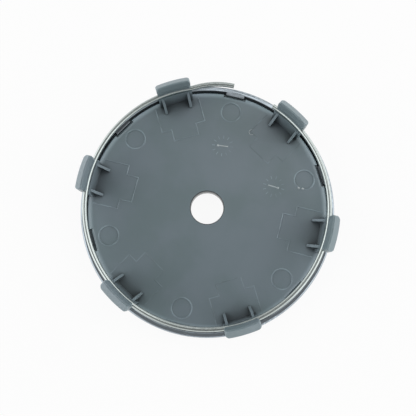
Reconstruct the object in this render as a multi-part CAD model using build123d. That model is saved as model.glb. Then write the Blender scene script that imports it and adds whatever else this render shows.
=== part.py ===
from build123d import *

import os
from math import acos, asin, atan2, cos, degrees, hypot, radians, sin

# Wheel centre cap, lying on its face with its back up. Three pieces: a chromed front cover shaped like
# a shallow cup, a grey moulded back plate with six snap clips that drops into the cup, and an open ring
# of steel wire that spreads the clips. Millimetres. The origin is the middle of the cap on the plane of
# its front bead, and +Z points to the back.

# Front cover
COVER_DIAMETER = 82.0
COVER_WALL = 1.7
COVER_BULGE = 0.4
COVER_WIDEST = 3.6
COVER_EDGE_ROUND = 0.7
COVER_EDGE_BEVEL = 0.15
FACE_THICKNESS = 2.2
FRONT_CURVE = 1.2
BEAD_LAND = 1.2
SEAT_DEPTH = 0.8
SEAT_BEVEL = 0.8
HOLE_DIAMETER = 10.6
HOLE_EDGE_BEVEL = 0.3

# Back plate
PLATE_THICKNESS = 2.2
PLATE_GAP = 0.8
PLATE_EDGE_RUN = 1.6
PLATE_EDGE_DROP = 0.6
CLIP_COUNT = 6
NOTCH_WIDTH = 7.4
NOTCH_DEPTH = 0.95
NOTCH_FLOOR = 1.0
NOTCH_EDGE_RUN = 1.0
NOTCH_EDGE_DROP = 0.5
EJECTOR_DIAMETER = 6.4
EJECTOR_INSET = 5.8
EJECTOR_DEPTH = 0.15

# Lugs of the cover that sit in the plate's notches
LUG_SIDE_CLEARANCE = 0.7
LUG_END_CLEARANCE = 0.65
LUG_SEAT_CLEARANCE = 0.05
LUG_STEP = 0.1
LUG_BEVEL = 0.12

# Snap clips
CLIP_WIDTH = 10.9
CLIP_HEIGHT = 12.0
CLIP_WALL = 1.9
CLIP_SETBACK = 0.1
CLIP_LEAN = 0.3
LIP_OVERHANG = 1.2
LIP_HEIGHT = 2.1
CREST_INSET = 1.0
HOOK_REACH = 2.0
HOOK_LEAD_IN = 2.6
HOOK_LAND = 2.0
HOOK_RAMP = 2.8
HOOK_TOP_ROUND = 0.35
HOOK_NOSE_ROUND = 0.5
HOOK_CORNER_ROUND = 1.3
HOOK_INNER_ROUND = 0.8
HOOK_SIDE_ROUND = 1.6

# Gusset ribs, two to a clip
RIB_THICKNESS = 0.8
RIB_SPACING = 8.3
RIB_LENGTH = 3.0
RIB_HEIGHT = 6.0
RIB_TOE = 0.5

# Wire ring
WIRE_DIAMETER = 1.5
WIRE_LEDGE = 6.4
WIRE_CLEARANCE = 0.05
WIRE_HEADROOM = 0.15
WIRE_OVERRUN = 1.3
TAIL_KINK = 10.0
TAIL_KINK_RADIUS = 5.0
TAIL_LENGTH = 13.0
TAIL_RADIUS = 24.0

# Overlap that buries the foot of one form in another, so that they fuse
ROOT = 0.6

# Places worked out from the sizes above
cover_radius = COVER_DIAMETER / 2
cover_bore = cover_radius - COVER_WALL
hole_radius = HOLE_DIAMETER / 2
floor_level = SEAT_DEPTH + FACE_THICKNESS
plate_level = floor_level + PLATE_THICKNESS
plate_radius = cover_bore - PLATE_GAP
notch_radius = plate_radius - NOTCH_DEPTH
notch_level = floor_level + NOTCH_FLOOR
clip_pitch = 360 / CLIP_COUNT
clip_back = plate_radius - CLIP_SETBACK
clip_foot = clip_back - CLIP_WALL
clip_root = plate_level - PLATE_EDGE_DROP
ledge_radius = clip_foot + CLIP_LEAN
ledge_level = plate_level + WIRE_LEDGE
wire_radius = ledge_radius + WIRE_CLEARANCE + WIRE_DIAMETER / 2
wire_level = ledge_level + WIRE_CLEARANCE + WIRE_DIAMETER / 2
groove_radius = wire_radius + WIRE_DIAMETER / 2 + WIRE_CLEARANCE
groove_top = wire_level + WIRE_DIAMETER / 2 + WIRE_HEADROOM
lip_radius = groove_radius - LIP_OVERHANG
hook_radius = plate_radius + HOOK_REACH
clip_top = plate_level + CLIP_HEIGHT


def around(part, count, first_angle=0.0):
    """Copies of a part, turned about the cap's axis."""
    return [Rot(0, 0, first_angle + 360 / count * index) * part for index in range(count)]


def turned(section, arc=360.0, start=0.0):
    """A section drawn as (radius, height) on the XZ plane, revolved about the cap's axis."""
    return Rot(0, 0, start) * revolve(Plane.XZ * section, axis=Axis.Z, revolution_arc=arc)


def bevelled(section, corner, length):
    """A section with the corner nearest to a point bevelled."""
    return chamfer(section.vertices().sort_by_distance(corner)[0], length)


def front_cover():
    """Shallow chromed cup: face with an emblem seat, barrel side wall and six inward lugs."""
    shoulder = cover_radius - COVER_BULGE
    bead_outer = shoulder - FRONT_CURVE
    bead_inner = bead_outer - BEAD_LAND
    seat_radius = bead_inner - SEAT_BEVEL
    widest = (cover_radius, COVER_WIDEST)
    front_side = TangentArc(widest, (bead_outer, 0), tangent=(0, -1))
    back_side = TangentArc(widest, (shoulder, plate_level), tangent=(0, 1))
    inside = Polyline(
        (shoulder, plate_level), (cover_bore, plate_level), (cover_bore, floor_level),
        (hole_radius, floor_level), (hole_radius, SEAT_DEPTH), (seat_radius, SEAT_DEPTH),
        (bead_inner, 0), (bead_outer, 0))
    section = make_face(Curve() + [front_side, back_side, inside])
    back_edge = section.vertices().sort_by_distance((shoulder, plate_level))[0]
    section = fillet(back_edge, COVER_EDGE_ROUND)
    section = bevelled(section, (cover_bore, plate_level), COVER_EDGE_BEVEL)
    section = bevelled(section, (hole_radius, SEAT_DEPTH), HOLE_EDGE_BEVEL)

    lug_width = NOTCH_WIDTH - 2 * LUG_SIDE_CLEARANCE
    lug_end = notch_radius + LUG_END_CLEARANCE
    lug_root = cover_bore + ROOT
    lug_bottom = notch_level + LUG_SEAT_CLEARANCE
    lug_top = plate_level - LUG_STEP
    profile = Polyline(
        (lug_end, lug_bottom), (lug_root, lug_bottom), (lug_root, lug_top),
        (lug_end + LUG_BEVEL, lug_top), (lug_end, lug_top - LUG_BEVEL), close=True)
    lug = extrude(Plane.XZ * make_face(profile), lug_width / 2, both=True)
    return turned(section) + around(lug, CLIP_COUNT, clip_pitch / 2)


def tangent_angle(middle, radius, point, side):
    """Angle on a circle where a line from a point outside touches it, on one side or the other."""
    run, rise = point[0] - middle[0], point[1] - middle[1]
    return degrees(atan2(rise, run) + side * acos(radius / hypot(run, rise))) % 360


def clip_section():
    """Radial section of a clip, as (radius, height), with its wire groove and hook."""
    land_top = clip_top - HOOK_LEAD_IN
    land_bottom = land_top - HOOK_LAND
    ramp_bottom = land_bottom - HOOK_RAMP
    lip_corner = (lip_radius, groove_top + LIP_HEIGHT)
    nose_corner = (hook_radius, land_top)
    crest_middle = (lip_radius + CREST_INSET, clip_top - HOOK_TOP_ROUND)
    outer_angle = tangent_angle(crest_middle, HOOK_TOP_ROUND, nose_corner, 1)
    inner_angle = tangent_angle(crest_middle, HOOK_TOP_ROUND, lip_corner, -1)
    crest = CenterArc(crest_middle, HOOK_TOP_ROUND, outer_angle, inner_angle - outer_angle)
    inside = Polyline(
        crest @ 1, lip_corner, (lip_radius, groove_top), (groove_radius, groove_top),
        (groove_radius, ledge_level), (ledge_radius, ledge_level), (clip_foot, plate_level),
        (clip_foot, clip_root), (clip_back, clip_root))
    outside = Polyline(
        (clip_back, clip_root), (clip_back, ramp_bottom), (hook_radius, land_bottom),
        nose_corner, crest @ 0)
    section = make_face(Curve() + [crest, inside, outside])
    return fillet(section.vertices().sort_by_distance(nose_corner)[0], HOOK_NOSE_ROUND)


def clip_plan(inner_radius, inner_round):
    """Outline of a clip seen along the cap's axis, with its outer and perhaps its inner corners rounded."""
    half = CLIP_WIDTH / 2
    inner_x = inner_radius * cos(asin(half / inner_radius))
    outer_x = hook_radius * cos(asin(half / hook_radius))
    edge = [
        RadiusArc((inner_x, half), (inner_x, -half), inner_radius),
        Line((inner_x, -half), (outer_x, -half)),
        RadiusArc((outer_x, -half), (outer_x, half), -hook_radius),
        Line((outer_x, half), (inner_x, half)),
    ]
    plan = make_face(Curve() + edge)
    plan = fillet(plan.vertices().sort_by(Axis.X)[2:], HOOK_CORNER_ROUND)
    if inner_round:
        plan = fillet(plan.vertices().sort_by(Axis.X)[:2], inner_round)
    return plan


def clip_front():
    """Outline of a clip seen from the cap's axis, as (sideways, height), with its top corners rounded."""
    top = clip_top + HOOK_TOP_ROUND
    outline = Pos(0, (clip_root + top) / 2) * Rectangle(CLIP_WIDTH, top - clip_root)
    return fillet(outline.vertices().group_by(Axis.Y)[-1], HOOK_SIDE_ROUND)


def snap_clip():
    """One clip on +X: its section swept wider than the clip, then trimmed by its outlines, and two ribs."""
    spread = 2 * degrees(asin(CLIP_WIDTH / clip_foot))
    swept = turned(clip_section(), spread, -spread / 2)
    below = Pos(0, 0, clip_root) * extrude(clip_plan(clip_foot - ROOT, 0), groove_top - clip_root)
    above = Pos(0, 0, groove_top) * extrude(clip_plan(lip_radius, HOOK_INNER_ROUND), CLIP_HEIGHT)
    clip = swept & (below + above) & extrude(Plane.YZ * clip_front(), 2 * hook_radius)

    toe = clip_foot - RIB_LENGTH
    rib_top = plate_level + RIB_HEIGHT
    rib_head = clip_foot + CLIP_LEAN * RIB_HEIGHT / WIRE_LEDGE
    profile = Polyline(
        (toe, plate_level - ROOT), (toe, plate_level + RIB_TOE), (rib_head, rib_top),
        (rib_head + ROOT, rib_top), (rib_head + ROOT, plate_level - ROOT), close=True)
    rib = extrude(Plane.XZ * make_face(profile), RIB_THICKNESS / 2, both=True)
    return clip + [Pos(0, side * RIB_SPACING / 2, 0) * rib for side in (-1, 1)]


def falling_edge(radius, run, drop):
    """Arc that leaves the plate's back level and falls away to its edge."""
    return TangentArc((radius - run, plate_level), (radius, plate_level - drop), tangent=(1, 0))


def back_plate():
    """Grey moulding: holed disc with edge notches, ejector marks and six snap clips."""
    edge = falling_edge(plate_radius, PLATE_EDGE_RUN, PLATE_EDGE_DROP)
    rest = Polyline(
        edge @ 1, (plate_radius, floor_level), (hole_radius, floor_level), (hole_radius, plate_level),
        edge @ 0)
    section = make_face(Curve() + [edge, rest])
    disc = turned(bevelled(section, (hole_radius, plate_level), HOLE_EDGE_BEVEL))

    flare = falling_edge(notch_radius, NOTCH_EDGE_RUN, NOTCH_EDGE_DROP)
    outside = Polyline(
        flare @ 1, (notch_radius, notch_level), (plate_radius + ROOT, notch_level),
        (plate_radius + ROOT, plate_level + ROOT), flare @ 0 + Vector(0, ROOT), flare @ 0)
    notch = extrude(Plane.XZ * make_face(Curve() + [flare, outside]), NOTCH_WIDTH / 2, both=True)
    upwards = (Align.CENTER, Align.CENTER, Align.MIN)
    mark = Pos(plate_radius - EJECTOR_INSET, 0, plate_level - EJECTOR_DEPTH) * Cylinder(
        EJECTOR_DIAMETER / 2, EJECTOR_DEPTH + ROOT, align=upwards)
    disc = disc - around(notch, CLIP_COUNT, clip_pitch / 2) - around(mark, CLIP_COUNT, clip_pitch / 2)
    return disc + around(snap_clip(), CLIP_COUNT)


def wire_ring():
    """Open ring of round wire lying in the clips' grooves, with one end springing free."""
    half_clip = degrees(asin(CLIP_WIDTH / 2 / wire_radius))
    first_clip = clip_pitch
    last_clip = 2 * clip_pitch
    start_angle = first_clip + half_clip + degrees(WIRE_OVERRUN / wire_radius)
    held_angle = start_angle + 360 - last_clip + half_clip
    toward_start = Vector(cos(radians(start_angle)), sin(radians(start_angle)), 0)
    start = wire_radius * toward_start + Vector(0, 0, wire_level)
    heading = toward_start.rotate(Axis.Z, -90)
    held = JernArc(start, heading, wire_radius, -held_angle)
    kink = JernArc(held @ 1, held % 1, TAIL_KINK_RADIUS, TAIL_KINK)
    tail = JernArc(kink @ 1, kink % 1, TAIL_RADIUS, -degrees(TAIL_LENGTH / TAIL_RADIUS))
    profile = Plane(origin=start, z_dir=heading) * Circle(WIRE_DIAMETER / 2)
    return sweep(profile, path=Wire([held.edge(), kink.edge(), tail.edge()]))


os.makedirs("parts", exist_ok=True)
export_step(front_cover(), "parts/front_cover.step")
export_step(back_plate(), "parts/back_plate.step")
export_step(wire_ring(), "parts/wire_ring.step")
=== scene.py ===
# %% [markdown]
# # A snap-in wheel centre cap, seen from its back
# The cap lies on its front face. A grey moulded plate with six hooked clips sits in a chromed cup, and an
# open ring of spring wire spreads the clips. The shapes of all three come from the CAD model, so this
# lesson sets up the picture, gives each piece its finish and adds the hairlines that the mould leaves.

# %% Load the CAD model as a fixed frame
from math import atan2, cos, degrees, pi, radians, sin

import bmesh
import bpy
from mathutils import Matrix, Vector


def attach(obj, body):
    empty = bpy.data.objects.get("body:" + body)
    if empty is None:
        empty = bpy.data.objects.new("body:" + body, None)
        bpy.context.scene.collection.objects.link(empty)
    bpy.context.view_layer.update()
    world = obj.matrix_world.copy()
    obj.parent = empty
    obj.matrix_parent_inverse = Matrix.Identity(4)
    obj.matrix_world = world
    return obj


MM = 0.001


def in_mm(point):
    """A point in millimetres, rounded for printing."""
    return [round(x / MM, 2) for x in point]


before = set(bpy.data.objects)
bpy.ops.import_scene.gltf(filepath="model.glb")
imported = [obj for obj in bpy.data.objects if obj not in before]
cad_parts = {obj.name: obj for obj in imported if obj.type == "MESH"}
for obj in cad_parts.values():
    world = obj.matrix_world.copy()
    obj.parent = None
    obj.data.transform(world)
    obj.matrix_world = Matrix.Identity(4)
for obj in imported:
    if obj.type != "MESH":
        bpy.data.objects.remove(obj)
plate, cover, wire = (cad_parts[name] for name in ("back_plate", "front_cover", "wire_ring"))
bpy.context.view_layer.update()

# %% [markdown]
# ## The camera
# The photograph looks down at the cap from a hand's length away, so the near clips look larger than the
# far ones. A camera could be placed by eye and nudged. Here it was fitted: the round hole, the plate's edge
# and the clips' feet were measured in the photograph, and one place, tilt and lens explain all of them. The
# numbers are read from the plate's back face, and the whole rig is then turned to the CAD's X axis.

# %% Place the camera
PHOTO_PIXELS, FOCAL_PIXELS, SENSOR_WIDTH = 416, 503.9, 36.0
CAMERA_DISTANCE, CAMERA_HEIGHT_ANGLE = 161.9 * MM, radians(81.75)
VIEW_TILT, VIEW_PAN, VIEW_ROLL = radians(81.81), radians(0.74), radians(4.55)
NEAREST_SEEN = 5 * MM
CLIP_TURN = radians(19.29)
PLATE_BACK = 5.2 * MM

ahead = Vector((cos(VIEW_TILT) * sin(VIEW_PAN), cos(VIEW_TILT) * cos(VIEW_PAN), -sin(VIEW_TILT)))
level = Vector((cos(VIEW_PAN), -sin(VIEW_PAN), 0))
upright = level.cross(ahead)
to_right = cos(VIEW_ROLL) * level - sin(VIEW_ROLL) * upright
to_top = sin(VIEW_ROLL) * level + cos(VIEW_ROLL) * upright
look = Matrix((to_right, to_top, -ahead)).transposed().to_4x4()
look.translation = CAMERA_DISTANCE * Vector((0, -cos(CAMERA_HEIGHT_ANGLE), sin(CAMERA_HEIGHT_ANGLE)))
look.translation.z += PLATE_BACK

lens = bpy.data.cameras.new("photo_camera")
lens.sensor_width = SENSOR_WIDTH
lens.lens = FOCAL_PIXELS / PHOTO_PIXELS * SENSOR_WIDTH
lens.clip_start = NEAREST_SEEN
camera = bpy.data.objects.new("photo_camera", lens)
bpy.context.scene.collection.objects.link(camera)
camera.matrix_world = Matrix.Rotation(CLIP_TURN, 4, "Z") @ look
bpy.context.scene.camera = camera
bpy.context.scene.view_settings.view_transform = "Standard"
print("camera at, mm:", in_mm(camera.matrix_world.translation), "lens", round(lens.lens, 3))

# %% [markdown]
# ## Shader sums as plain expressions
# A finish is a recipe: a colour that drifts a little, a roughness with fine streaks, a bump. Wiring that by
# hand in the node editor is slow to read later. The class below wraps one output socket, so that
# `1 - mask * 0.4` adds the Math nodes itself, and any other node comes from its one method `node`.


# %% A socket that can be added and multiplied
class Value:
    """One output socket of a node tree. Sums and products of it become Math nodes."""

    def __init__(self, tree, socket):
        self.tree, self.socket = tree, socket

    def node(self, kind, settings=None, sockets=None, output=0):
        """Adds a node: its settings first, then the numbers or links of its sockets."""
        made = self.tree.nodes.new(kind)
        for name, setting in (settings or {}).items():
            setattr(made, name, setting)
        for name, given in (sockets or {}).items():
            if isinstance(given, Value):
                self.tree.links.new(given.socket, made.inputs[name])
            else:
                made.inputs[name].default_value = given
        return Value(self.tree, made.outputs[output])

    def math(self, operation, first, second):
        return self.node("ShaderNodeMath", {"operation": operation}, {0: first, 1: second})

    def __add__(self, other):
        return self.math("ADD", self, other)

    def __sub__(self, other):
        return self.math("SUBTRACT", self, other)

    def __rsub__(self, other):
        return self.math("SUBTRACT", other, self)

    def __mul__(self, other):
        return self.math("MULTIPLY", self, other)

    def __pow__(self, other):
        return self.math("POWER", self, other)

    __radd__, __rmul__ = __add__, __mul__

    def axes(self):
        """The three parts of a place or direction."""
        return [self.node("ShaderNodeSeparateXYZ", {}, {0: self}, output=axis) for axis in "XYZ"]

    def ramp(self, low, high, to_low=0.0, to_high=1.0):
        """Runs smoothly from to_low to to_high as the value goes from low to high."""
        return self.node("ShaderNodeMapRange", {"interpolation_type": "SMOOTHSTEP"},
                         {0: self, 1: low, 2: high, 3: to_low, 4: to_high})

    def blend(self, first, second):
        """The first colour where the value is 0, the second where it is 1."""
        return self.node("ShaderNodeMix", {"data_type": "RGBA"}, {0: self, 6: first, 7: second}, output=2)

    def scaled(self, amount):
        """A colour made darker or paler by an amount."""
        return self.node("ShaderNodeVectorMath", {"operation": "SCALE"}, {0: self, "Scale": amount})

    def noise(self, size, detail=2.0):
        """Cloudy noise on a place, with patches about `size` metres across."""
        return self.node("ShaderNodeTexNoise", {}, {"Vector": self, "Scale": 1 / size, "Detail": detail})

    def bump(self, depth, strength):
        """A normal that makes a value look like hills of this depth."""
        return self.node("ShaderNodeBump", {}, {"Height": self, "Distance": depth, "Strength": strength})


print("the shader class can do:", [name for name in vars(Value) if not name.startswith("__")])

# %% [markdown]
# ## Floor and surroundings
# The cap was photographed on a bright white table that leaves no edge in the picture. A plain white plane
# would go grey in its corners, so the floor shows most of its white directly to the camera, and to mirrors,
# and keeps a share of ordinary white paint that still takes the cap's soft shadow.

# %% Lay the floor
FLOOR_SIZE, FLOOR_DROP = 6.0, 0.02 * MM
FLOOR_GLOW, FLOOR_GLOW_SHARE = 1.0, 0.92
WHITE, WHITE_PAINT = (1, 1, 1, 1), (0.9, 0.9, 0.9, 1)


def clean_tree(owner):
    """Empties a material's or world's nodes, and gives its coordinates as a Value and its output node."""
    owner.use_nodes = True
    tree = owner.node_tree
    tree.nodes.clear()
    world = isinstance(owner, bpy.types.World)
    out = tree.nodes.new("ShaderNodeOutputWorld" if world else "ShaderNodeOutputMaterial")
    coordinates = tree.nodes.new("ShaderNodeTexCoord").outputs["Generated" if world else "Object"]
    return Value(tree, coordinates), out


def show(shader, out):
    """Joins a finished shader to its material's or world's output."""
    shader.tree.links.new(shader.socket, out.inputs["Surface"])


def seen_directly(place):
    """1 for rays from the camera, off a mirror or through glass, and 0 for light that falls on things."""
    rays = [place.node("ShaderNodeLightPath", output=name)
            for name in ("Is Camera Ray", "Is Glossy Ray", "Is Transmission Ray")]
    return place.math("MINIMUM", rays[0] + rays[1] + rays[2], 1.0)


bpy.ops.object.select_all(action="DESELECT")
bpy.ops.mesh.primitive_plane_add(size=FLOOR_SIZE, location=(0, 0, -FLOOR_DROP))
floor = bpy.context.object
floor.name = "floor"
floor_paint = bpy.data.materials.new("white_table")
place, out = clean_tree(floor_paint)
paint = place.node("ShaderNodeBsdfDiffuse", {}, {"Color": WHITE_PAINT})
glow = place.node("ShaderNodeEmission", {}, {"Color": WHITE, "Strength": FLOOR_GLOW})
glow_share = seen_directly(place) * FLOOR_GLOW_SHARE
show(place.node("ShaderNodeMixShader", {}, {0: glow_share, 1: paint, 2: glow}), out)
floor.data.materials.append(floor_paint)
print("floor:", FLOOR_SIZE, "m across, glow share", FLOOR_GLOW_SHARE)

# %% [markdown]
# ## Light
# Reflections tell where the light stood: the wire shines on the picture's left and right and is dull at its
# top and bottom, and only the far right of the chromed rim mirrors a lamp. So there were two tall pale
# walls, a dimmer glow beyond the top of the picture, a lamp high up at its top right, and a dark camera
# overhead. Lamps could stand in for all of it, but a sky that varies with its direction gives softer edges
# in the chrome. What shines on the cap and what a mirror or the camera sees of the sky needn't be equally
# bright: where it is looked at, the sky is kept pale near the floor, so that a view from the side has a
# pale background too, and it is kept from glaring where the walls are strongest.

# %% Light the walls and hang the lamp
WALL_LIGHT, WALL_FALL = 2.15, (0.50, 0.95)
TOP_LIGHT, TOP_RISE, TOP_FALL = 0.22, (0.10, 0.50), (0.85, 1.0)
HORIZON_LIGHT, HORIZON_FALL = 0.35, 4.0
CEILING_LIGHT = 0.13
SEEN_LOW, SEEN_HIGH, SEEN_FALL, SEEN_MOST = 0.95, 0.24, (0.28, 0.42), 1.8
LEAST_LEVEL = 0.001
PICTURE_RIGHT = atan2(camera.matrix_world[1][0], camera.matrix_world[0][0])
PICTURE_TOP = atan2(camera.matrix_world[1][1], camera.matrix_world[0][1])
LAMP_TURN, LAMP_RISE = PICTURE_TOP - radians(30), radians(64)
LAMP_REACH, LAMP_SIZE, LAMP_WATTS = 0.35, 0.18, 0.105

surroundings = bpy.data.worlds.new("pale_walls")
bpy.context.scene.world = surroundings
place, out = clean_tree(surroundings)
facing = place.node("ShaderNodeVectorRotate", {"rotation_type": "Z_AXIS"},
                    {"Vector": place, "Angle": -PICTURE_RIGHT})
across, along, rise = facing.axes()
level_share = place.math("MAXIMUM", across * across + along * along, LEAST_LEVEL)
wall_share = place.math("DIVIDE", across * across, level_share)
top_share = place.math("DIVIDE", place.math("MAXIMUM", along, 0.0) ** 2, level_share)
height = place.math("MAXIMUM", rise, 0.0)
sky = CEILING_LIGHT + HORIZON_LIGHT * (1 - height) ** HORIZON_FALL
sky = sky + WALL_LIGHT * wall_share * height.ramp(*WALL_FALL, 1.0, 0.0)
sky = sky + TOP_LIGHT * top_share * height.ramp(*TOP_RISE) * height.ramp(*TOP_FALL, 1.0, 0.0)
seen = seen_directly(place)
seen_sky = place.math("MAXIMUM", sky, height.ramp(*SEEN_FALL, SEEN_LOW, SEEN_HIGH))
seen_sky = place.math("MINIMUM", seen_sky, SEEN_MOST)
sky = seen * seen_sky + (1 - seen) * sky
show(place.node("ShaderNodeBackground", {}, {"Color": WHITE, "Strength": sky}), out)

lamp_data = bpy.data.lights.new("soft_lamp", "AREA")
lamp_data.shape, lamp_data.size, lamp_data.energy = "DISK", LAMP_SIZE, LAMP_WATTS
lamp = bpy.data.objects.new("soft_lamp", lamp_data)
bpy.context.scene.collection.objects.link(lamp)
lamp.location = LAMP_REACH * Vector((
    cos(LAMP_TURN) * cos(LAMP_RISE), sin(LAMP_TURN) * cos(LAMP_RISE), sin(LAMP_RISE)))
lamp.rotation_euler = (-lamp.location).to_track_quat("-Z", "Y").to_euler()
print("picture top, degrees:", round(degrees(PICTURE_TOP), 1), "lamp at, mm:", in_mm(lamp.location))

# %% [markdown]
# ## Grey moulded plastic
# The plate is moulded from a blue-grey plastic with a satin skin. A real moulding is never one flat colour:
# the melt leaves slow cloudy drifts, and the spark-eroded mould leaves a very fine grain that breaks up the
# shine. Drifts and grain are noises on Object coordinates, so that they stay put on the part at their true
# size. On top of them the colour carries painted shade in the corners and painted highlights on the edges,
# patchy on the plate's level. Corners and edges could be painted by hand. Here the Ambient Occlusion node
# finds them: short rays that leave the surface are stopped in a corner, and rays that go into the plastic
# come out again near an edge. Four places follow from their distance to the axis and their height: the
# plate's thin border and the hooks' slopes get painted highlights, and the gap beside the cup and the wall
# of the hole get painted shade.

# %% Mix the plastic
GREY_DEEP, GREY_PALE = (0.136, 0.184, 0.200, 1), (0.162, 0.206, 0.234, 1)
CLOUD_SIZE, CLOUD_DETAIL, CLOUD_RANGE = 14 * MM, 3.0, (0.3, 0.7)
GRAIN_SIZE, GRAIN_DEPTH, GRAIN_STRENGTH = 0.22 * MM, 0.012 * MM, 0.6
OCCLUSION_RAYS = 8
# Painted shade: corners, the gap beside the cup and the hole's wall are darkened. Painted highlights:
# edges, the plate's border and the hook slopes are paled.
CORNER_REACH, CORNER_RANGE, CORNER_SHADE = 9 * MM, (0.25, 1.0), 0.32
EDGE_REACH, EDGE_HIGHLIGHT = 0.6 * MM, 0.60
HIGHLIGHT_PATCH_SIZE, HIGHLIGHT_PATCH_RANGE, HIGHLIGHT_PATCH_LEAST = 5 * MM, (0.40, 0.62), 0.3
BORDER_RANGE, BORDER_HIGHLIGHT = (36.4 * MM, 38.3 * MM), 0.75
HOOK_RANGE, HOOK_RISE, HOOK_HIGHLIGHT = (38.1 * MM, 38.5 * MM), (12 * MM, 12.8 * MM), 0.38
ABOVE_PLATE = (5.4 * MM, 6.2 * MM)
GAP_RISE, GAP_SHADE = (4.0 * MM, 4.6 * MM), 0.7
HOLE_WALL, HOLE_SHADE = (5.45 * MM, 5.65 * MM), 0.22
SATIN, SATIN_GRAIN = 0.40, 0.14
PLASTIC_IOR, SKIN_SHEEN, SKIN_ROUGHNESS = 1.5, 0.35, 0.3


def openness(place, reach, inside):
    """1 where rays of this reach run free, outside or inside the piece, and less where they are stopped."""
    return place.node("ShaderNodeAmbientOcclusion",
                      {"samples": OCCLUSION_RAYS, "only_local": True, "inside": inside},
                      {"Distance": reach}, output="AO")


def mix_plastic(name, deep, pale):
    """The plate's plastic between two colours."""
    plastic = bpy.data.materials.new(name)
    place, out = clean_tree(plastic)
    x, y, z = place.axes()
    radius = (x * x + y * y) ** 0.5
    clouds = place.noise(CLOUD_SIZE, CLOUD_DETAIL).ramp(*CLOUD_RANGE)
    grain = place.noise(GRAIN_SIZE)

    # Painted highlights: paler edges, in patches on the plate's level, a paler plate border and paler hook
    # slopes.
    above = z.ramp(*ABOVE_PLATE)
    patches = place.noise(HIGHLIGHT_PATCH_SIZE).ramp(*HIGHLIGHT_PATCH_RANGE, HIGHLIGHT_PATCH_LEAST, 1.0)
    edge_highlight = (1 - openness(place, EDGE_REACH, True)) * (patches + (1 - patches) * above)
    border = radius.ramp(*BORDER_RANGE) * (1 - above)
    hooks = radius.ramp(*HOOK_RANGE) * z.ramp(*HOOK_RISE)
    painted_highlights = 1 + edge_highlight * EDGE_HIGHLIGHT + border * BORDER_HIGHLIGHT + hooks * HOOK_HIGHLIGHT

    # Painted shade: darker in the corners, in the gap beside the cup and on the wall of the hole.
    painted_shade = openness(place, CORNER_REACH, False).ramp(*CORNER_RANGE, CORNER_SHADE, 1.0)
    painted_shade = painted_shade * z.ramp(*GAP_RISE, GAP_SHADE, 1.0) * radius.ramp(*HOLE_WALL, HOLE_SHADE, 1.0)
    show(place.node("ShaderNodeBsdfPrincipled", {}, {
        "Base Color": clouds.blend(deep, pale).scaled(painted_shade * painted_highlights),
        "Roughness": SATIN + grain * SATIN_GRAIN,
        "Normal": grain.bump(GRAIN_DEPTH, GRAIN_STRENGTH),
        "IOR": PLASTIC_IOR,
        "Coat Weight": SKIN_SHEEN,
        "Coat Roughness": SKIN_ROUGHNESS,
    }), out)
    return plastic


grey_plastic = mix_plastic("moulded_grey_plastic", GREY_DEEP, GREY_PALE)
plate.data.materials[0] = grey_plastic
print("plastic:", len(grey_plastic.node_tree.nodes), "nodes")

# %% [markdown]
# ## Outlines of the mould's lifters
# Each hook is freed from the mould by a block that slides aside, and the block's outline prints on the
# plate as a hairline shaped like a T. It could be painted into the plastic, but a ridge that stands up
# catches the light from every side by itself. It starts as a small block, whose end face is picked by its
# place and extruded leg by leg, with a square at each corner. Insetting and lifting its top then slopes its
# sides. The lines get the same plastic in slightly darker colours, which take off part of the painted
# highlight on their edges.

# %% Draw one outline, leg by leg
LINE_WIDTH, LINE_SIDE, LINE_SUNK, LINE_LIFT = 0.36 * MM, 0.12 * MM, 0.03 * MM, 0.11 * MM
LINE_TONE = 0.93
LIFTER_CORNERS = ((36.0, 7.3), (28.0, 7.3), (28.0, 4.1), (24.1, 4.1),
                  (24.1, -4.1), (28.0, -4.1), (28.0, -7.3), (36.0, -7.3))
SAME_WAY = 0.99


def start_block(name, place, width, depth):
    """A flat block sunk into the plate's back, with its top just above it, ready for edit mode."""
    bpy.ops.object.select_all(action="DESELECT")
    bpy.ops.mesh.primitive_cube_add(size=1, scale=(width, depth, 2 * LINE_SUNK),
                                    location=(place[0], place[1], PLATE_BACK))
    bpy.ops.object.transform_apply(location=True, rotation=True, scale=True)
    piece = bpy.context.object
    piece.name = piece.data.name = name
    bpy.context.tool_settings.mesh_select_mode = (False, False, True)
    bpy.ops.object.mode_set(mode="EDIT")
    return piece


def pick_faces(piece, direction, near=None):
    """Selects only the faces that look in a direction, or of these only the one around a point."""
    bpy.ops.mesh.select_all(action="DESELECT")
    shape = bmesh.from_edit_mesh(piece.data)
    shape.normal_update()
    for face in shape.faces:
        in_place = near is None or (face.calc_center_median() - near).length < LINE_WIDTH / 4
        if in_place and face.normal.dot(direction) > SAME_WAY:
            face.select_set(True)
    bmesh.update_edit_mesh(piece.data)


def slope_the_top(piece, side, lift):
    """Insets and lifts the faces that look up, so that their edges become slopes, and leaves edit mode."""
    pick_faces(piece, Vector((0, 0, 1)))
    bpy.ops.mesh.inset(thickness=side, depth=lift, use_even_offset=True)
    bpy.ops.object.mode_set(mode="OBJECT")


def moulded_on(piece):
    """Gives a mark the plate's plastic, unless it has a finish, and lets it ride with the part."""
    if not piece.data.materials:
        piece.data.materials.append(grey_plastic)
    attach(piece, "root")


def toned_plastic(name, tone):
    """The plate's plastic with its colours scaled by a tone."""
    return mix_plastic(name, *((*(tone * part for part in grey[:3]), 1) for grey in (GREY_DEEP, GREY_PALE)))


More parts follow.
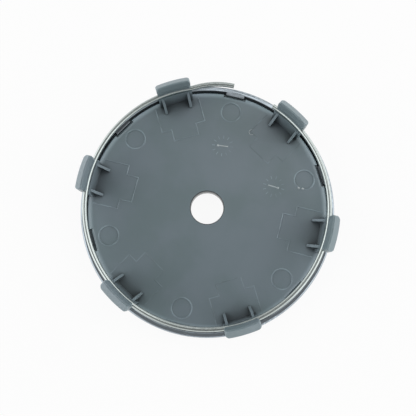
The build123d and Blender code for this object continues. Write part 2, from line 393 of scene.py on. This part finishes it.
# Slightly darker colours, which take off part of the painted edge highlight.
line_plastic = toned_plastic("line_grey_plastic", LINE_TONE)
corners = [Vector((x * MM, y * MM, PLATE_BACK)) for x, y in LIFTER_CORNERS]
outline = start_block("lifter_outline_0", corners[0], LINE_WIDTH, LINE_WIDTH)
for here, there in zip(corners, corners[1:]):
    heading = (there - here).normalized()
    pick_faces(outline, heading, near=here + heading * LINE_WIDTH / 2)
    for step in ((there - here).length - LINE_WIDTH, LINE_WIDTH):
        bpy.ops.mesh.extrude_region_move(TRANSFORM_OT_translate={"value": heading * step})
slope_the_top(outline, LINE_SIDE, LINE_LIFT)
outline.data.materials.append(line_plastic)
moulded_on(outline)
print("one outline:", len(outline.data.polygons), "faces")

# %% [markdown]
# The other five are copies with their own meshes. A mesh can be turned in its own data, so each copy's
# object stays at the origin like the first. Some blocks close more tightly than others: three outlines
# hardly show in the photograph, so these are flatter and get darker colours still, which mostly cancel
# their painted edge highlight.

# %% Copy it to the other clips
CLIP_COUNT = 6
FAINT_CLIPS, FAINT_SHARE, FAINT_TONE = (1, 4, 5), 0.35, 0.75

faint_plastic = toned_plastic("faint_line_grey_plastic", FAINT_TONE)


def copy_moved(piece, name, move):
    """A copy with its own mesh, moved in its data."""
    mesh = piece.data.copy()
    mesh.name = name
    mesh.transform(move)
    copied = bpy.data.objects.new(name, mesh)
    bpy.context.scene.collection.objects.link(copied)
    moulded_on(copied)
    return copied


flatten = Matrix.Scale(FAINT_SHARE, 4, (0, 0, 1))
flatten.translation.z = PLATE_BACK * (1 - FAINT_SHARE)
clip_turns = [Matrix.Rotation(2 * pi * i / CLIP_COUNT, 4, "Z") for i in range(CLIP_COUNT)]
for i in range(1, CLIP_COUNT):
    faint = i in FAINT_CLIPS
    copied = copy_moved(outline, f"lifter_outline_{i}", flatten @ clip_turns[i] if faint else clip_turns[i])
    if faint:
        copied.data.materials[0] = faint_plastic
print("outlines:", CLIP_COUNT, "of them faint:", len(FAINT_CLIPS))

# %% [markdown]
# ## Rims of the ejector pins
# Round pins push the moulding out and leave a circle each. The soft plastic creeps a hair up round the pin,
# so the circle has a thin raised rim. A torus would do, but its foot would be round too: here a small
# upright face gets its top corners cut, only its border is kept, and that border is spun once about the
# pin's middle. Spinning meets its own start, so the doubles are merged and the normals are then made to
# face outwards.

# %% Spin one rim and copy it
PIN_PLACE, PIN_RADIUS = 32.7 * MM, 3.2 * MM
RIM_WIDTH, RIM_SUNK, RIM_LIFT = 0.42 * MM, 0.18 * MM, 0.08 * MM
RIM_STEPS, MERGE, SMOOTH_ANGLE = 64, 0.002 * MM, radians(35)


def spun_rim(name, middle, radius, width, sunk, lift):
    """A thin raised ring on the plate's back, sunk a little, with its two top edges cut to slopes."""
    bpy.ops.object.select_all(action="DESELECT")
    bpy.ops.mesh.primitive_plane_add(size=1, rotation=(pi / 2, 0, 0), location=(
        middle[0] + radius, middle[1], PLATE_BACK + (lift - sunk) / 2))
    rim = bpy.context.object
    rim.name = rim.data.name = name
    rim.scale = (width, sunk + lift, 1)
    bpy.ops.object.transform_apply(location=True, rotation=True, scale=True)
    bpy.context.tool_settings.mesh_select_mode = (True, False, False)
    bpy.ops.object.mode_set(mode="EDIT")
    bpy.ops.mesh.select_all(action="DESELECT")
    shape = bmesh.from_edit_mesh(rim.data)
    for corner in shape.verts:
        corner.select_set(corner.co.z > PLATE_BACK)
    bmesh.update_edit_mesh(rim.data)
    bpy.ops.mesh.bevel(offset=lift, segments=1, affect="VERTICES")
    bpy.ops.mesh.select_all(action="SELECT")
    bpy.ops.mesh.delete(type="ONLY_FACE")
    bpy.ops.mesh.select_all(action="SELECT")
    bpy.ops.mesh.spin(steps=RIM_STEPS, angle=2 * pi, center=(middle[0], middle[1], 0), axis=(0, 0, 1))
    bpy.ops.mesh.select_all(action="SELECT")
    bpy.ops.mesh.remove_doubles(threshold=MERGE)
    bpy.ops.mesh.normals_make_consistent(inside=False)
    bpy.ops.object.mode_set(mode="OBJECT")
    bpy.ops.object.shade_smooth_by_angle(angle=SMOOTH_ANGLE)
    moulded_on(rim)
    return rim


first_pin = Vector((cos(pi / CLIP_COUNT), sin(pi / CLIP_COUNT))) * PIN_PLACE
rim = spun_rim("ejector_rim_0", first_pin, PIN_RADIUS, RIM_WIDTH, RIM_SUNK, RIM_LIFT)
for i in range(1, CLIP_COUNT):
    copy_moved(rim, f"ejector_rim_{i}", clip_turns[i])
print("rims:", CLIP_COUNT, "of", len(rim.data.polygons), "faces")

# %% [markdown]
# One pin leaves two crumbs of flash on its rim, where a little plastic was squeezed in beside it. Each is a
# small block with a sloping top, turned to lie along the rim. The crumbs get the same finish in paler
# colours, a painted highlight. A thin core pin also tore its little rim: one side of it stands up and the
# other dips into the plate, so the spun ring is tilted about its middle and shows as an open curl. It gets
# the same paler colours.

# %% Leave two crumbs of flash and a torn rim
CRUMBS = ((27.14, 13.31), (28.48, 13.37))
CRUMB_WIDTH, CRUMB_STRETCH, CRUMB_LIFT, CRUMB_TURN = 0.55 * MM, 1.3, 0.16 * MM, radians(20)
SLOPE_SHARE = 1 / 3
HIGHLIGHT_MARK_DEEP, HIGHLIGHT_MARK_PALE = (0.26, 0.30, 0.31, 1), (0.44, 0.48, 0.49, 1)
CORE_PIN, CORE_RADIUS, CORE_WIDTH = Vector((8.15 * MM, 27.75 * MM, PLATE_BACK)), 0.85 * MM, 0.20 * MM
CORE_SUNK, CORE_LIFT, CORE_TILT, CORE_AXIS = 0.12 * MM, 0.06 * MM, radians(5.5), radians(115)

# Paler colours: a painted highlight on the crumbs, the torn rim and the dial's pointer.
highlight_mark_plastic = mix_plastic("highlight_mark_plastic", HIGHLIGHT_MARK_DEEP, HIGHLIGHT_MARK_PALE)
for i, (x, y) in enumerate(CRUMBS):
    middle = (x * MM, y * MM, PLATE_BACK)
    crumb = start_block(f"flash_crumb_{i}", middle, CRUMB_WIDTH * CRUMB_STRETCH, CRUMB_WIDTH)
    bpy.ops.mesh.select_all(action="SELECT")
    bpy.ops.transform.rotate(value=CRUMB_TURN, orient_axis="Z", center_override=middle)
    slope_the_top(crumb, CRUMB_WIDTH * SLOPE_SHARE, CRUMB_LIFT)
    crumb.data.materials.append(highlight_mark_plastic)
    moulded_on(crumb)
core_rim = spun_rim("core_pin_rim", CORE_PIN, CORE_RADIUS, CORE_WIDTH, CORE_SUNK, CORE_LIFT)
tilt = Matrix.Rotation(CORE_TILT, 4, Vector((cos(CORE_AXIS), sin(CORE_AXIS), 0)))
core_rim.data.transform(Matrix.Translation(CORE_PIN) @ tilt @ Matrix.Translation(-CORE_PIN))
core_rim.data.materials[0] = highlight_mark_plastic
print("crumbs:", len(CRUMBS), "and a torn rim of", len(core_rim.data.polygons), "faces")

# %% [markdown]
# ## Date dials
# Two small dials near the middle say when the part was moulded: a turned screw leaves a straight pointer
# with a thicker end, among a ring of faint strokes. The stroke is modelled once and the spin operator lays
# The pointer is a block drawn out to its length, and the second dial is a turned
# copy. The pointer gets the same paler plastic as the crumbs, a painted highlight.

# %% Make a dial and its copy
STROKES, STROKE_RADIUS, STROKE_LENGTH = 12, 3.0 * MM, 1.0 * MM
STROKE_WIDTH, STROKE_LIFT = 0.22 * MM, 0.015 * MM
POINTER_LENGTH, POINTER_WIDTH, POINTER_HEAD, POINTER_LIFT = 3.0 * MM, 0.32 * MM, 0.60 * MM, 0.12 * MM
DIAL_PLACES = (((0.0, 20.98), radians(187)), ((19.2, 11.81), radians(-2.7)))

dial = start_block("date_dial_0", (STROKE_RADIUS, 0), STROKE_LENGTH, STROKE_WIDTH)
bpy.ops.mesh.spin(steps=STROKES, angle=2 * pi, dupli=True, center=(0, 0, 0), axis=(0, 0, 1))
bpy.ops.mesh.select_all(action="SELECT")
bpy.ops.mesh.remove_doubles(threshold=MERGE)
slope_the_top(dial, STROKE_WIDTH * SLOPE_SHARE, STROKE_LIFT)
dial.data.materials.append(grey_plastic)

pointer_end = (POINTER_LENGTH / 2, 0, 0)
pointer = start_block("dial_pointer", pointer_end, POINTER_HEAD, POINTER_HEAD)
pick_faces(pointer, Vector((-1, 0, 0)))
bpy.ops.mesh.inset(thickness=0.0, depth=0.0)
bpy.ops.transform.resize(value=(1, POINTER_WIDTH / POINTER_HEAD, 1), center_override=pointer_end)
bpy.ops.mesh.extrude_region_move(TRANSFORM_OT_translate={"value": (-POINTER_LENGTH, 0, 0)})
slope_the_top(pointer, POINTER_WIDTH * SLOPE_SHARE, POINTER_LIFT)
pointer.data.materials.append(highlight_mark_plastic)

bpy.ops.object.select_all(action="DESELECT")
pointer.select_set(True)
dial.select_set(True)
bpy.context.view_layer.objects.active = dial
bpy.ops.object.join()
first_move, second_move = (Matrix.Translation((x * MM, y * MM, 0)) @ Matrix.Rotation(turn, 4, "Z")
                           for (x, y), turn in DIAL_PLACES)
moulded_on(dial)
second_dial = copy_moved(dial, "date_dial_1", second_move)
dial.data.transform(first_move)
print("dials:", [len(piece.data.polygons) for piece in (dial, second_dial)], "faces")

# %% [markdown]
# ## Chrome plating
# The cup is plated plastic. Chrome on plastic is bright but not a perfect mirror: it follows the moulding's
# waviness, which runs along the rim, so reflections break into streaks, and handling leaves a faint haze.
# Its colour is the cool grey that the photograph shows. The cup's inner wall and its lugs get painted
# shade from the gap, deepest in the notches on one line through the middle, and the hole's wall is painted
# nearly black.

# %% Plate the cover
CHROME_COLOUR, CHROME_HAZE = (0.385, 0.44, 0.485, 1), (0.35, 0.395, 0.43, 1)
HAZE_SIZE, HAZE_DETAIL, HAZE_RANGE = 2.5 * MM, 4.0, (0.45, 0.75)
RIPPLE_SIZE, RIPPLE_DETAIL, RIPPLE_ALONG = 0.8 * MM, 1.5, 0.05
RIPPLE_DEPTH, RIPPLE_STRENGTH = 0.20 * MM, 1.0
# Painted shade on the cup's inner wall and lugs, deeper in two notches, and on the hole's wall.
CUP_WALL, CUP_FLOOR, CUP_DARK = (39.25 * MM, 39.4 * MM), (1.5 * MM, 2.5 * MM), 0.55
NOTCH_SHADE_TURN, NOTCH_SHADE_RANGE, NOTCH_SHADE_DARK = radians(30), (28 * MM, 35 * MM), 0.7
HOLE_DARK = 0.9
PLATED_METAL, HAZE_METAL = 0.92, -0.08
PLATED_ROUGHNESS, HAZE_ROUGHNESS = 0.07, 0.12

chrome = bpy.data.materials.new("bright_chrome_plating")
place, out = clean_tree(chrome)
x, y, z = place.axes()
radius = (x * x + y * y) ** 0.5
haze = place.noise(HAZE_SIZE, HAZE_DETAIL).ramp(*HAZE_RANGE)
round_rim = place.node("ShaderNodeCombineXYZ", {}, {
    0: x * RIPPLE_ALONG, 1: y * RIPPLE_ALONG, 2: radius - z})
ripple = round_rim.noise(RIPPLE_SIZE, RIPPLE_DETAIL)
# Painted shade: the cup's inner wall and lugs darker, more so in two notches, and the hole's wall nearly
# black.
in_cup = radius.ramp(*CUP_WALL, 1.0, 0.0) * z.ramp(*CUP_FLOOR)
towards = x * cos(NOTCH_SHADE_TURN) + y * sin(NOTCH_SHADE_TURN)
notch_shade = in_cup * ((towards * towards) ** 0.5).ramp(*NOTCH_SHADE_RANGE)
in_hole = radius.ramp(*HOLE_WALL, 1.0, 0.0)
chrome_painted_shade = (1 - in_cup * CUP_DARK) * (1 - in_hole * HOLE_DARK) * (1 - notch_shade * NOTCH_SHADE_DARK)
show(place.node("ShaderNodeBsdfPrincipled", {}, {
    "Base Color": haze.blend(CHROME_COLOUR, CHROME_HAZE).scaled(chrome_painted_shade),
    "Metallic": PLATED_METAL + haze * HAZE_METAL,
    "Roughness": PLATED_ROUGHNESS + haze * HAZE_ROUGHNESS,
    "Normal": ripple.bump(RIPPLE_DEPTH, RIPPLE_STRENGTH),
}), out)
cover.data.materials[0] = chrome
print("chrome:", len(chrome.node_tree.nodes), "nodes")

# %% [markdown]
# ## Drawn spring wire
# Spring wire is pulled through a die, which leaves fine lines along it and a bright, slightly brushed
# sheen. The lines follow the ring, so the noise is read on the distance from the middle and the height,
# with hardly any change along the way round.

# %% Draw the wire's finish
STEEL_BRIGHT, STEEL_DULL = (0.56, 0.615, 0.60, 1), (0.475, 0.525, 0.515, 1)
DRAWN_LINE, DRAWN_ALONG, DRAWN_RANGE = 0.09 * MM, 0.02, (0.35, 0.65)
DRAWN_DEPTH, DRAWN_STRENGTH = 0.004 * MM, 0.5
STEEL_ROUGHNESS, DRAWN_ROUGHNESS = 0.20, 0.10

steel = bpy.data.materials.new("drawn_spring_steel")
place, out = clean_tree(steel)
x, y, z = place.axes()
radius = (x * x + y * y) ** 0.5
round_ring = place.node("ShaderNodeCombineXYZ", {}, {0: radius, 1: z, 2: (x + y) * DRAWN_ALONG})
lines = round_ring.noise(DRAWN_LINE).ramp(*DRAWN_RANGE)
show(place.node("ShaderNodeBsdfPrincipled", {}, {
    "Base Color": lines.blend(STEEL_BRIGHT, STEEL_DULL),
    "Metallic": 1.0,
    "Roughness": STEEL_ROUGHNESS + lines * DRAWN_ROUGHNESS,
    "Normal": lines.bump(DRAWN_DEPTH, DRAWN_STRENGTH),
}), out)
wire.data.materials[0] = steel
print("steel:", len(steel.node_tree.nodes), "nodes")

# %% [markdown]
# ## Finish
# The dressed part must stay inside the CAD model's box.
